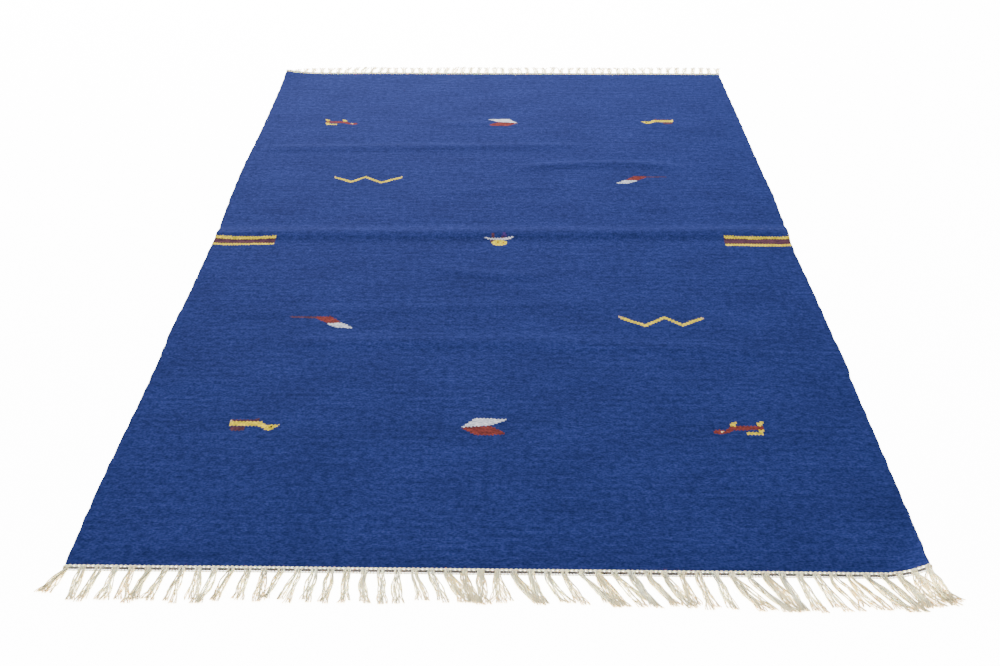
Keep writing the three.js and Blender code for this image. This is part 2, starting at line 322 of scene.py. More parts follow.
# %% Asking the chart
def inside(outline, x, y):
    """Even-odd test of points against an outline."""
    found = np.zeros(x.shape, bool)
    for (x1, y1), (x2, y2) in zip(outline, np.roll(outline, -1, axis=0)):
        if y1 != y2:
            crosses = (y1 > y) != (y2 > y)
            found ^= crosses & (x < x1 + (y - y1) * (x2 - x1) / (y2 - y1))
    return found


def yarn_at(x, y):
    """Which yarn lies at each place: 0 is the ground."""
    yarns = np.zeros(x.shape, int)
    for yarn, outline in SHAPES:
        low, high = outline.min(axis=0), outline.max(axis=0)
        near = (x > low[0]) & (x < high[0]) & (y > low[1]) & (y < high[1])
        hit = np.zeros(x.shape, bool)
        hit[near] = inside(outline, x[near], y[near])
        yarns[hit] = yarn
    return yarns


# %% [markdown]
# ## The cloth
# The cloth is one closed sheet, 2.6 mm thick, with the same figures on both faces, as a kilim has.
# Loom cells as small as 3.4 by 1.7 mm are needed only where a figure is, so the ground is made of faces
# that are four warps wide and six cells high, and only the faces that touch a figure are split. Where
# a split face meets a whole one, the whole one takes the extra points into its outline, which keeps the
# mesh closed. Simulated cloth wouldn't keep the folds where the photograph has them, so the sheet is laid
# by the same function as everything else.

# %% Loom grid
WARPS, CELLS = 412, 1176
FACE_WARPS, FACE_CELLS = 4, 6
WARP_PITCH, CELL_HEIGHT = WIDTH / WARPS, LENGTH / CELLS
SPLIT_MARGIN = 2 * MM
face_columns, face_rows = WARPS // FACE_WARPS, CELLS // FACE_CELLS

split = np.zeros((face_columns, face_rows), bool)
for _, outline in SHAPES:
    low, high = outline.min(axis=0) - SPLIT_MARGIN, outline.max(axis=0) + SPLIT_MARGIN
    i0, i1 = [int((v + HALF_WIDTH) / (FACE_WARPS * WARP_PITCH)) for v in (low[0], high[0])]
    j0, j1 = [int((v + HALF_LENGTH) / (FACE_CELLS * CELL_HEIGHT)) for v in (low[1], high[1])]
    split[max(i0, 0):i1 + 1, max(j0, 0):j1 + 1] = True
print(f"loom cell {WARP_PITCH / MM:.2f} x {CELL_HEIGHT / MM:.2f} mm, {split.sum()} faces split")

# %% Points of the grid
used = np.zeros((WARPS + 1, CELLS + 1), bool)
used[::FACE_WARPS, ::FACE_CELLS] = True
for i, j in zip(*np.nonzero(split)):
    used[i * FACE_WARPS:(i + 1) * FACE_WARPS + 1, j * FACE_CELLS:(j + 1) * FACE_CELLS + 1] = True
number = np.full(used.shape, -1)
number[used] = np.arange(used.sum())
grid_i, grid_j = np.nonzero(used)
flat_x = grid_i * WARP_PITCH - HALF_WIDTH
flat_y = grid_j * CELL_HEIGHT - HALF_LENGTH
upper = lay(flat_x, flat_y, THICKNESS)
under = lay(flat_x, flat_y, 0.0)
print(len(upper), "points on each face")


# %% Faces of the grid
def outline_of(i0, j0, i1, j1):
    """The points that are in use around a block of cells, anticlockwise from above."""
    ring = [(i, j0) for i in range(i0, i1)] + [(i1, j) for j in range(j0, j1)]
    ring += [(i, j1) for i in range(i1, i0, -1)] + [(i0, j) for j in range(j1, j0, -1)]
    return [int(number[p]) for p in ring if used[p]]


blocks = []
for i in range(face_columns):
    for j in range(face_rows):
        i0, j0 = i * FACE_WARPS, j * FACE_CELLS
        if split[i, j]:
            blocks += [(a, b, a + 1, b + 1) for a in range(i0, i0 + FACE_WARPS)
                       for b in range(j0, j0 + FACE_CELLS)]
        else:
            blocks.append((i0, j0, i0 + FACE_WARPS, j0 + FACE_CELLS))
faces = [outline_of(*block) for block in blocks]
rim = outline_of(0, 0, WARPS, CELLS)

# %% Yarn of each face
middle = np.array(blocks, float)
middle_x = (middle[:, 0] + middle[:, 2]) / 2 * WARP_PITCH - HALF_WIDTH
middle_y = (middle[:, 1] + middle[:, 3]) / 2 * CELL_HEIGHT - HALF_LENGTH
teeth = np.where(middle[:, 0] % 2 == 0, 0.5, -0.5) * CELL_HEIGHT
face_yarns = yarn_at(middle_x, middle_y + teeth)
face_yarns[(middle[:, 2] - middle[:, 0]) > 1] = 0
print({YARNS[k]: int((face_yarns == k).sum()) for k in range(len(YARNS))})


# %% Joining both faces at the rim
def mesh_of(name, points, polygons):
    mesh = bpy.data.meshes.new(name)
    mesh.from_pydata([tuple(p) for p in points], [], polygons)
    mesh.validate()
    piece = bpy.data.objects.new(name, mesh)
    bpy.context.scene.collection.objects.link(piece)
    return piece


below = len(upper)
polygons = list(faces)
polygons += [[v + below for v in reversed(face)] for face in faces]
rim_pairs = list(zip(rim, rim[1:] + rim[:1]))
polygons += [[a + below, b + below, b, a] for a, b in rim_pairs]
cloth = mesh_of("woven_cloth", np.vstack([upper, under]), polygons)

rim_x = np.array([(flat_x[a] + flat_x[b]) / 2 for a, b in rim_pairs])
rim_y = np.array([(flat_y[a] + flat_y[b]) / 2 for a, b in rim_pairs])
# The rim is asked a little inside the edge, where the side stripes still are
RIM_INWARD = 0.999
yarn_of_polygon = np.concatenate([face_yarns, face_yarns, yarn_at(rim_x * RIM_INWARD, rim_y)])

# %% Yarn and loom place as attributes
corner_yarns = np.repeat(yarn_of_polygon, [len(p) for p in polygons])
yarn_layer = cloth.data.color_attributes.new("yarn", "FLOAT_COLOR", "CORNER")
yarn_layer.data.foreach_set("color", YARN_COLOURS[corner_yarns].astype(np.float32).ravel())
flat_points = np.column_stack([flat_x, flat_y, np.zeros(below)])
place_layer = cloth.data.attributes.new("loom_place", "FLOAT_VECTOR", "POINT")
place_layer.data.foreach_set("vector", np.vstack([flat_points, flat_points]).astype(np.float32).ravel())
cloth.data.polygons.foreach_set("use_smooth", [True] * len(cloth.data.polygons))
cloth.data.set_sharp_from_angle(angle=math.radians(50))
cloth.data.calc_loop_triangles()
print("woven_cloth:", len(cloth.data.loop_triangles), "triangles")

# %% [markdown]
# ## Nodes in a few words
# Materials and Geometry Nodes are both trees of nodes. One small function adds a node to either kind:
# it sets the node's own settings, and sets or links its inputs. Inputs that share a name with another
# are given by their number.

# %% Adding a node
def add_node(tree, kind, inputs=None, **settings):
    node = tree.nodes.new(kind)
    for name, value in settings.items():
        setattr(node, name, value)
    for key, value in (inputs or {}).items():
        if isinstance(value, bpy.types.NodeSocket):
            tree.links.new(value, node.inputs[key])
        else:
            node.inputs[key].default_value = value
    return node


def new_material(name):
    material = bpy.data.materials.new(name)
    material.use_nodes = True
    material.node_tree.nodes.clear()
    return material, material.node_tree


# %% [markdown]
# ## Dyed wool, weft-faced
# Hand-spun wool never takes the dye evenly. Close up the ground is a mix of lighter and darker fibres,
# a few millimetres apart, and from further away it runs in faint level streaks, one for each length of
# yarn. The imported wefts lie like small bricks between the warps. All of it is worked out in metres of
# the flat loom, from an attribute, so it bends with the cloth.

# %% Wool material: place on the loom
wool, wool_tree = new_material("Dyed wool, weft-faced")
place = add_node(wool_tree, "ShaderNodeAttribute", attribute_name="loom_place").outputs["Vector"]
yarn = add_node(wool_tree, "ShaderNodeAttribute", attribute_name="yarn").outputs["Color"]

# %% Wool material: fibres, streaks and patches
# (size across and along in metres, detail, darkest and lightest red, green and blue). Real fibres are
# finer than 1 mm, and are drawn 3 to 5 mm long so that they still show from where the camera stands.
# Light fibres took less dye, so they gain more red than blue.
SHADES = [
    (0.0050, 0.0030, 2.0, (0.54, 0.62, 0.70), (1.50, 1.38, 1.28)),
    (0.0150, 0.0080, 1.0, (0.71, 0.75, 0.79), (1.26, 1.23, 1.20)),
    (0.2200, 0.0090, 1.0, (0.88, 0.90, 0.91), (1.12, 1.10, 1.09)),
    (0.1400, 0.0900, 2.0, (0.90, 0.90, 0.91), (1.09, 1.09, 1.08)),
]
shaded = yarn
for across, along, detail, low, high in SHADES:
    sized = add_node(wool_tree, "ShaderNodeMapping",
                     {"Vector": place, "Scale": (1 / across, 1 / along, 1.0)})
    fibres = add_node(wool_tree, "ShaderNodeTexNoise",
                      {"Vector": sized.outputs[0], "Scale": 1.0, "Detail": detail})
    shade = add_node(wool_tree, "ShaderNodeMapRange",
                     {"Vector": fibres.outputs[0], 7: (0.3, 0.3, 0.3), 8: (0.7, 0.7, 0.7), 9: low, 10: high},
                     data_type="FLOAT_VECTOR")
    shaded = add_node(wool_tree, "ShaderNodeVectorMath", {0: shaded, 1: shade.outputs[1]},
                      operation="MULTIPLY").outputs[0]

# %% Wool material: packed wefts
# A weft passes over one warp and under the next. Two wefts are drawn as one, 1.7 mm high. The gaps
# between them are bumped down, and their colour is darkened by a fifth as painted shade.
brick = add_node(wool_tree, "ShaderNodeTexBrick",
                 {"Vector": place, "Scale": 1.0, "Mortar Size": 0.0004, "Mortar Smooth": 1.0,
                  "Brick Width": 2 * WARP_PITCH, "Row Height": CELL_HEIGHT},
                 offset=0.5, offset_frequency=2, squash=1.0)
groove = add_node(wool_tree, "ShaderNodeMapRange", {0: brick.outputs["Fac"], 3: 1.0, 4: 0.8})
# Painted shade: the base colour is darkened by a fifth in the gaps between wefts
painted_groove_shade = add_node(wool_tree, "ShaderNodeVectorMath", {0: shaded, 1: groove.outputs[0]},
                   operation="MULTIPLY")
bump = add_node(wool_tree, "ShaderNodeBump",
                {"Height": groove.outputs[0], "Strength": 0.35, "Distance": 0.0012})
wool_shader = add_node(wool_tree, "ShaderNodeBsdfPrincipled",
                       {"Base Color": painted_groove_shade.outputs[0], "Roughness": 0.92, "IOR": 1.45,
                        "Specular IOR Level": 0.03, "Sheen Weight": 0.02, "Sheen Roughness": 0.5,
                        "Sheen Tint": (*linear("#8fa0dc"), 1.0), "Normal": bump.outputs[0]})
add_node(wool_tree, "ShaderNodeOutputMaterial", {"Surface": wool_shader.outputs[0]})
cloth.data.materials.append(wool)

# %% [markdown]
# ## Undyed cotton
# Warps and cords are plied cotton, creamy where they lie in the hand and greyer at their cut ends. Each
# yarn carries its own tone, and how far along it a point is, as attributes. Three cottons are made from
# one recipe: a whiter one for the tight cords, a creamier one for the loose warp ends, and a dark grey-brown
# one for a yarn in the slots between the cords, which is painted shadow.

# %% Cotton materials
def make_cotton(name, light, creamy, soiled):
    cotton, tree = new_material(name)
    tone = add_node(tree, "ShaderNodeAttribute", attribute_name="tone").outputs["Fac"]
    along = add_node(tree, "ShaderNodeAttribute", attribute_name="along").outputs["Fac"]
    where = add_node(tree, "ShaderNodeTexCoord").outputs["Object"]
    fluff = add_node(tree, "ShaderNodeTexNoise", {"Vector": where, "Scale": 420.0, "Detail": 2.0})
    cream = add_node(tree, "ShaderNodeMix",
                     {0: tone, 6: (*linear(light), 1), 7: (*linear(creamy), 1)}, data_type="RGBA")
    ends = add_node(tree, "ShaderNodeMapRange", {0: along, 1: 0.72, 2: 1.0, 3: 0.0, 4: 0.55})
    tipped = add_node(tree, "ShaderNodeMix",
                      {0: ends.outputs[0], 6: cream.outputs[2], 7: (*linear(soiled), 1)},
                      data_type="RGBA")
    shade = add_node(tree, "ShaderNodeMapRange", {0: fluff.outputs[0], 1: 0.3, 2: 0.7, 3: 0.86, 4: 1.08})
    shaded = add_node(tree, "ShaderNodeVectorMath", {0: tipped.outputs[2], 1: shade.outputs[0]},
                      operation="MULTIPLY")
    bump = add_node(tree, "ShaderNodeBump",
                    {"Height": fluff.outputs[0], "Strength": 0.3, "Distance": 0.0006})
    shader = add_node(tree, "ShaderNodeBsdfPrincipled",
                      {"Base Color": shaded.outputs[0], "Roughness": 0.9, "IOR": 1.5,
                       "Specular IOR Level": 0.2, "Sheen Weight": 0.8, "Sheen Roughness": 0.5,
                       "Subsurface Weight": 0.85, "Subsurface Scale": 0.0025,
                       "Subsurface Radius": (1.0, 0.85, 0.7), "Normal": bump.outputs[0]})
    add_node(tree, "ShaderNodeOutputMaterial", {"Surface": shader.outputs[0]})
    return cotton


cord_cotton = make_cotton("Cotton cord, twined", "#fbf3d8", "#f4e6c0", "#f4e6c0")
warp_cotton = make_cotton("Cotton warp ends, plied", "#fff2bc", "#f6da98", "#b8955c")
# Painted shadow: a dark grey-brown yarn lies in the slots between the cords, where there is only shade
slot_shadow_cotton = make_cotton("Dark yarn, painted slot shadow", "#3a3028", "#3a3028", "#3a3028")
print("materials:", [m.name for m in bpy.data.materials if m.users])

# %% [markdown]
# ## Geometry Nodes for what repeats
# The edge wraps, the cords and the fringe all repeat one small thing hundreds of times along a line, so
# each is a Geometry Nodes tree with named inputs. A line with a few attributes goes in, finished yarn
# comes out. At the end the result is kept as a plain mesh and the modifier goes.

# %% Trees with named inputs
SOCKETS = {float: "NodeSocketFloat", int: "NodeSocketInt", bpy.types.Material: "NodeSocketMaterial"}


def new_tree(name, inputs):
    tree = bpy.data.node_groups.new(name, "GeometryNodeTree")
    tree.interface.new_socket("Geometry", in_out="INPUT", socket_type="NodeSocketGeometry")
    for label, kind in inputs.items():
        tree.interface.new_socket(label, in_out="INPUT", socket_type=SOCKETS[kind])
    tree.interface.new_socket("Geometry", in_out="OUTPUT", socket_type="NodeSocketGeometry")
    return tree, tree.nodes.new("NodeGroupInput").outputs


def grow(piece, tree, **values):
    """Run a tree on a piece with the given inputs, and keep the result as a plain mesh."""
    modifier = piece.modifiers.new(tree.name, "NODES")
    modifier.node_group = tree
    for item in tree.interface.items_tree:
        label = item.name.replace(" ", "_")
        if item.in_out == "INPUT" and label in values:
            modifier[item.identifier] = values[label]
    graph = bpy.context.evaluated_depsgraph_get()
    grown = bpy.data.meshes.new_from_object(piece.evaluated_get(graph))
    piece.modifiers.clear()
    piece.data = grown
    grown.calc_loop_triangles()
    print(f"{piece.name}: {len(grown.loop_triangles)} triangles")


def lines_piece(name, lines, **attributes):
    """An object made of open lines, with one value for each point in each attribute."""
    points = np.vstack(lines)
    starts = np.cumsum([0] + [len(line) for line in lines])
    edges = [(k, k + 1) for a, b in zip(starts, starts[1:]) for k in range(a, b - 1)]
    mesh = bpy.data.meshes.new(name)
    mesh.from_pydata([tuple(p) for p in points], edges, [])
    for label, values in attributes.items():
        values = np.concatenate(values).astype(np.float32)
        layer = mesh.attributes.new(label, "FLOAT", "POINT")
        layer.data.foreach_set("value", values)
    piece = bpy.data.objects.new(name, mesh)
    bpy.context.scene.collection.objects.link(piece)
    return piece


# %% Ends of trees
def end_tree(tree, geometry, material):
    """End a tree with plain, smooth geometry of one material."""
    real = add_node(tree, "GeometryNodeRealizeInstances", {0: geometry})
    soft = add_node(tree, "GeometryNodeSetShadeSmooth", {0: real.outputs[0]})
    made = add_node(tree, "GeometryNodeSetMaterial", {"Geometry": soft.outputs[0], "Material": material})
    add_node(tree, "NodeGroupOutput", {0: made.outputs[0]})


def end_with_yarn(tree, curve, radius, sides, material):
    """Sweep lines into round yarn, and end the tree with it."""
    ring = add_node(tree, "GeometryNodeCurvePrimitiveCircle", {"Resolution": sides, "Radius": radius})
    tube = add_node(tree, "GeometryNodeCurveToMesh",
                    {"Curve": curve, "Profile Curve": ring.outputs[0], "Fill Caps": True})
    end_tree(tree, tube.outputs[0], material)


# %% [markdown]
# ## Selvedges
# At each side the wefts turn back round a thicker edge warp, so the edge is a row of small wool wraps,
# not a cut. Each wrap is one low bead, a loom cell long, a little slanted and uneven. Where the side
# stripes reach the edge the wraps take their yarn.

# %% Wraps tree
wraps_tree, socket = new_tree("Weft wraps along an edge", {
    "Across": float, "Along": float, "Up": float, "Slant": float, "Unevenness": float,
    "Seed": int, "Material": bpy.types.Material})
bead = add_node(wraps_tree, "GeometryNodeMeshUVSphere", {"Segments": 8, "Rings": 5, "Radius": 1.0})
shape = add_node(wraps_tree, "ShaderNodeCombineXYZ",
                 {0: socket["Across"], 1: socket["Along"], 2: socket["Up"]})
sized = add_node(wraps_tree, "GeometryNodeTransform",
                 {"Geometry": bead.outputs["Mesh"], "Scale": shape.outputs[0]})
least = add_node(wraps_tree, "ShaderNodeMath", {0: 1.0, 1: socket["Unevenness"]}, operation="SUBTRACT")
most = add_node(wraps_tree, "ShaderNodeMath", {0: 1.0, 1: socket["Unevenness"]}, operation="ADD")
size = add_node(wraps_tree, "FunctionNodeRandomValue",
                {2: least.outputs[0], 3: most.outputs[0], "Seed": socket["Seed"]}, data_type="FLOAT")
turn = add_node(wraps_tree, "ShaderNodeCombineXYZ", {2: socket["Slant"]})
wraps = add_node(wraps_tree, "GeometryNodeInstanceOnPoints",
                 {"Points": socket["Geometry"], "Instance": sized.outputs[0],
                  "Rotation": turn.outputs[0], "Scale": size.outputs[1]})
end_tree(wraps_tree, wraps.outputs[0], socket["Material"])


# %% Wraps on both sides
WRAPS_A_SIDE = 560
WRAP_FROM_END, WRAP_FROM_SIDE, WRAP_HEIGHT = 1.2 * MM, 1.6 * MM, 1.5 * MM


def edge_points(side):
    y = np.linspace(-HALF_LENGTH + WRAP_FROM_END, HALF_LENGTH - WRAP_FROM_END, WRAPS_A_SIDE)
    x = np.full(WRAPS_A_SIDE, side * (HALF_WIDTH - WRAP_FROM_SIDE))
    return x, y, lay(x, y, WRAP_HEIGHT)


left_x, left_y, left_points = edge_points(-1)
right_x, right_y, right_points = edge_points(1)
edge_x, edge_y = np.concatenate([left_x, right_x]), np.concatenate([left_y, right_y])
selvedges = lines_piece("selvedge_wraps", [left_points, right_points])
edge_place = selvedges.data.attributes.new("loom_place", "FLOAT_VECTOR", "POINT")
edge_place.data.foreach_set(
    "vector", np.column_stack([edge_x, edge_y, 0 * edge_x]).astype(np.float32).ravel())
edge_yarn = selvedges.data.attributes.new("yarn", "FLOAT_COLOR", "POINT")
edge_yarn.data.foreach_set(
    "color", YARN_COLOURS[yarn_at(edge_x, edge_y)].astype(np.float32).ravel())
grow(selvedges, wraps_tree, Across=2.1 * MM, Along=2.3 * MM, Up=1.75 * MM, Slant=0.35,
     Unevenness=0.14, Seed=4, Material=wool)

# %% [markdown]
# ## Twined cords
# Before the warps are knotted, the weaver locks the last weft with a cord of twined cotton, and a
# second, thinner one below it gathers the warps into bunches. A twined cord is strands that turn round
# each other: copies of one line, each pushed aside by an angle that grows with the length. Flattened a
# little, because it is pressed on the floor.

# %% Cord tree
cord_tree, socket = new_tree("Twined cord", {
    "Strands": int, "Strand radius": float, "Twist length": float, "Sway across": float,
    "Sway up": float, "Step": float, "Sides": int, "Material": bpy.types.Material})
line = add_node(cord_tree, "GeometryNodeMeshToCurve", {0: socket["Geometry"]})
even = add_node(cord_tree, "GeometryNodeResampleCurve",
                {"Curve": line.outputs[0], "Length": socket["Step"]}, mode="LENGTH")
copies = add_node(cord_tree, "GeometryNodeDuplicateElements",
                  {"Geometry": even.outputs[0], "Amount": socket["Strands"]}, domain="SPLINE")
passed = add_node(cord_tree, "GeometryNodeSplineParameter")
turns = add_node(cord_tree, "ShaderNodeMath",
                 {0: passed.outputs["Length"], 1: socket["Twist length"]}, operation="DIVIDE")
part = add_node(cord_tree, "ShaderNodeMath",
                {0: copies.outputs["Duplicate Index"], 1: socket["Strands"]}, operation="DIVIDE")
angle = add_node(cord_tree, "ShaderNodeMath", {0: turns.outputs[0], 1: part.outputs[0]}, operation="ADD")
angle = add_node(cord_tree, "ShaderNodeMath", {0: angle.outputs[0], 1: 2 * math.pi}, operation="MULTIPLY")
aside = add_node(cord_tree, "ShaderNodeMath", {0: angle.outputs[0]}, operation="COSINE")
aside = add_node(cord_tree, "ShaderNodeMath",
                 {0: aside.outputs[0], 1: socket["Sway across"]}, operation="MULTIPLY")
lifted = add_node(cord_tree, "ShaderNodeMath", {0: angle.outputs[0]}, operation="SINE")
lifted = add_node(cord_tree, "ShaderNodeMath",
                  {0: lifted.outputs[0], 1: socket["Sway up"]}, operation="MULTIPLY")
push = add_node(cord_tree, "ShaderNodeCombineXYZ", {1: aside.outputs[0], 2: lifted.outputs[0]})
twisted = add_node(cord_tree, "GeometryNodeSetPosition",
                   {"Geometry": copies.outputs[0], "Offset": push.outputs[0]})
end_with_yarn(cord_tree, twisted.outputs[0], socket["Strand radius"], socket["Sides"], socket["Material"])

# %% Cords at both ends
PART_GAP, CORD_WIDTH, SLOT_HEIGHT, LOWER_CORD_WIDTH = 0.3 * MM, 5 * MM, 3.8 * MM, 3.6 * MM
CORD_OUT = PART_GAP + CORD_WIDTH / 2
LOWER_CORD_OUT = PART_GAP + CORD_WIDTH + SLOT_HEIGHT + LOWER_CORD_WIDTH / 2
# The dark yarn that paints the shadow in the slots lies halfway across them
SLOT_SHADOW_OUT = PART_GAP + CORD_WIDTH + SLOT_HEIGHT / 2


def cord_line(end, out, height):
    x = np.linspace(-HALF_WIDTH, HALF_WIDTH, 281)
    return lay(x, np.full(x.shape, end * (HALF_LENGTH + out)), height)


# (name, how far out; then height, strand radius, twist length, sway across, sway up and step in
# millimetres; sides of a strand, cotton)
CORDS = [
    ("edge_cord", CORD_OUT, 1.7, 1.2, 15.0, 1.9, 0.9, 1.5, 7, cord_cotton),
    ("lower_cord", LOWER_CORD_OUT, 1.0, 0.75, 11.0, 0.85, 0.3, 1.6, 6, cord_cotton),
    # Not a real cord: a dark yarn under the slots, painted shadow where there is only shade
    ("core_yarn", SLOT_SHADOW_OUT, 2.3, 1.8, 9.0, 0.9, 0.1, 2.2, 6, slot_shadow_cotton),
]
cords = []
for end, where in ((-1, "near"), (1, "far")):
    for name, out, height, radius, twist, across, up, step, sides, cotton in CORDS:
        cord = lines_piece(f"{name}_{where}", [cord_line(end, out, height * MM)])
        grow(cord, cord_tree, Strands=2, Strand_radius=radius * MM, Twist_length=twist * MM,
             Sway_across=across * MM, Sway_up=up * MM, Step=step * MM, Sides=sides, Material=cotton)
        cords.append(cord)

# %% [markdown]
# ## Knotted fringe
# The warps leave the cloth in 53 bunches. Each bunch bridges the slots between the two cords, and falls
# in two to four strands of plied yarns, which loosen towards their cut ends. A strand has eight yarns at
# the near end and five at the far one, more than there are warps, to look as full as the real one. Nobody
# combs a fringe before a photograph, so a table says which way it was swept, and every strand gets its own
# length, bow, wander and height from a seeded random number, so tufts that cross don't all lie in one
# plane. Yarns may still pass through one another, but none sinks into the floor.

# %% Which way the fringe lies
# Rows of (x, sideways reach of the tips) in millimetres, and the share of the full length that shows.
# Where neighbours reach for one place they lie as a tuft.
NEAR_LEAN = [
    (-700, -45, 0.6), (-676, -2, 0.78), (-650, -12, 0.8), (-625, -9, 0.8), (-600, 6, 0.8), (-575, 2, 0.8),
    (-550, -22, 0.8), (-525, -17, 0.8), (-500, 2, 0.8), (-478, 10, 0.8), (-450, -20, 0.78),
    (-424, -18, 0.78), (-398, -8, 0.76), (-374, 9, 0.76), (-346, -32, 0.76), (-318, -18, 0.78),
    (-280, -7, 0.8), (-250, 2, 0.78), (-222, 4, 0.78), (-190, 11, 0.8), (-163, 6, 0.78), (-138, 24, 0.78),
    (-112, 31, 0.78), (-82, 44, 0.8), (-59, 28, 0.8), (-32, 8, 0.8), (-8, -8, 0.78), (18, 60, 0.8),
    (42, 40, 0.8), (62, 24, 0.8), (88, 43, 0.78), (114, 38, 0.8), (142, 64, 0.84), (169, 44, 0.84),
    (196, 52, 0.84), (224, 34, 0.84), (249, 50, 0.84), (276, 38, 0.84), (302, 14, 0.86), (331, 22, 0.92),
    (360, 25, 0.94), (388, 64, 0.9), (413, 54, 0.92), (440, 36, 0.94), (466, 14, 0.94), (492, 22, 0.92),
    (520, 33, 0.9), (545, 40, 0.88), (572, 44, 0.88), (598, 62, 0.9), (624, 42, 0.9), (648, 40, 0.84),
    (669, 44, 0.78), (689, 48, 0.72), (700, 50, 0.68),
]
# Rows of (x, how full a tuft is): the fuller ones are also the creamier ones
NEAR_TUFTS = [
    (-700, 1.5), (-670, 1.1), (-560, 1.4), (-500, 1.0), (-470, 1.3), (-420, 1.0), (-350, 1.3), (-280, 1.0),
    (-120, 1.0), (-90, 1.6), (50, 1.6), (80, 1.1), (140, 1.4), (200, 1.3), (250, 1.6), (290, 1.3),
    (350, 1.2), (390, 1.5), (440, 1.4), (480, 1.3), (560, 1.34), (600, 1.7), (630, 1.7), (650, 2.3),
    (700, 2.5),
]
FAR_LEAN = [
    (-700, 6, 0.45), (-600, -6, 0.6), (-450, 12, 0.7), (-300, -8, 0.66), (-120, 10, 0.74),
    (60, -9, 0.7), (240, 14, 0.72), (400, -6, 0.7), (560, 12, 0.74), (700, 8, 0.7),
]
FAR_TUFTS = [(-700, 1.2), (700, 1.2)]

# %% Strand sizes
BUNCHES, FIRST_BUNCH = 53, 0.696
BUNCH_PITCH = 2 * FIRST_BUNCH / (BUNCHES - 1)
HALF_BUNCH, OUTERMOST_ROOT = 3.1 * MM, 0.6986
END_REACH, SIDE_REACH = 1.082, 0.75
TIP_DRIFT = 4 * MM
# Places along a strand: close together where it bridges the slots
STRAND_SHARES = np.concatenate([[0, 0.03, 0.06, 0.095, 0.13], np.linspace(0.18, 1, 13)])
# Rows of (share of the strand, height in millimetres): up over the lower cord, then down to the floor
STRAND_HEIGHTS = [(0, 2.6), (0.05, 3.3), (0.1, 2.5), (0.16, 1.7), (0.3, 1.4), (1, 1.1)]
# (how full a tuft is at least, where its strands are rooted across the bunch)
STRAND_ROOTS = [(1.8, (-1, -0.4, 0.4, 1)), (1.35, (-1, 0, 1)), (0, (-1, 1))]


# %% Strand lines
def strand_line(end, root, tip, length, bow, over, chance):
    """Points of one strand, from under the upper cord to its tip."""
    t = STRAND_SHARES
    start = HALF_LENGTH + PART_GAP + CORD_WIDTH * 0.6
    from_x, from_y = plan(np.array([root]), np.array([end * start]))
    along = t * length
    sideways = along - bow * np.sin(np.pi * along)
    x = from_x + (tip - from_x) * np.clip((sideways - 0.1) / 0.9, 0, None)
    reach, waves, phase = chance.uniform(0.6, 2.4) * MM, chance.uniform(0.5, 1.1), chance.random()
    x = x + reach * np.sin(2 * np.pi * (waves * t + phase)) * smooth(t / 0.4)
    y = from_y + (end * END_REACH - from_y) * along
    raised = float(rise(np.array([root]), np.array([end * start]))[0])
    height = np.interp(t, *np.transpose(STRAND_HEIGHTS)) * MM
    hop = over * MM * np.sin(np.pi * np.clip(t * 1.15, 0, 1)) ** 2
    return np.column_stack([x, y, raised * (1 - smooth(t / 0.8)) + height + hop])


# %% Strands of one fringe
def strands_of(end, lean_rows, tuft_rows, seed):
    """Lines of all strands, with how loose their yarns are and how creamy, point by point."""
    chance = random.Random(seed)
    lines, loose, tone = [], [], []
    for k in range(BUNCHES):
        bunch_x = k * BUNCH_PITCH - FIRST_BUNCH
        drift = chance.uniform(-TIP_DRIFT, TIP_DRIFT)
        tuft = float(between(tuft_rows, bunch_x / MM))
        creamy = chance.random() * 0.6 + (tuft - 1) * 0.8
        for half in next(roots for least, roots in STRAND_ROOTS if tuft > least):
            root = float(np.clip(bunch_x + half * HALF_BUNCH, -OUTERMOST_ROOT, OUTERMOST_ROOT))
            lean = float(between(lean_rows[:, :2], root / MM)) * MM
            shown = float(between(lean_rows[:, ::2], root / MM))
            tip = bunch_x + half * tuft * chance.uniform(1, 7) * MM + lean + drift
            tip = min(max(tip, -SIDE_REACH), SIDE_REACH)
            length = shown * chance.uniform(0.93, 1.07)
            bow, over = chance.uniform(-0.06, 0.18), chance.uniform(0, 3)
            lines.append(strand_line(end, root, tip, length, bow, over, chance))
            fray, full = tuft * chance.uniform(3.5, 6.5), tuft * chance.uniform(2.2, 3.4)
            width = np.interp(STRAND_SHARES, [0, 0.07, 0.14, 0.4, 0.8, 1], [2.6, 2.3, 1.8, full, full, fray])
            loose.append(width * MM)
            strand_tone = min(1, max(0, creamy + chance.uniform(-0.25, 0.25)))
            tone.append(np.full(len(STRAND_SHARES), strand_tone))
    return lines, loose, tone


# %% Yarn tree
yarn_tree, socket = new_tree("Plied yarns of a strand", {
    "Yarns": int, "Yarn radius": float, "Turns": float, "Flatness": float, "Wander": float,
    "Sides": int, "Seed": int, "Material": bpy.types.Material})
line = add_node(yarn_tree, "GeometryNodeMeshToCurve", {0: socket["Geometry"]})
copies = add_node(yarn_tree, "GeometryNodeDuplicateElements",
                  {"Geometry": line.outputs[0], "Amount": socket["Yarns"]}, domain="SPLINE")
passed = add_node(yarn_tree, "GeometryNodeSplineParameter")
which = add_node(yarn_tree, "GeometryNodeCurveOfPoint")
start = add_node(yarn_tree, "FunctionNodeRandomValue",
                 {2: -0.12, 3: 0.12, "ID": which.outputs["Curve Index"], "Seed": socket["Seed"]},
                 data_type="FLOAT")
turns = add_node(yarn_tree, "ShaderNodeMath",
                 {0: passed.outputs["Factor"], 1: socket["Turns"]}, operation="MULTIPLY")
part = add_node(yarn_tree, "ShaderNodeMath",
                {0: copies.outputs["Duplicate Index"], 1: socket["Yarns"]}, operation="DIVIDE")
angle = add_node(yarn_tree, "ShaderNodeMath", {0: turns.outputs[0], 1: part.outputs[0]}, operation="ADD")
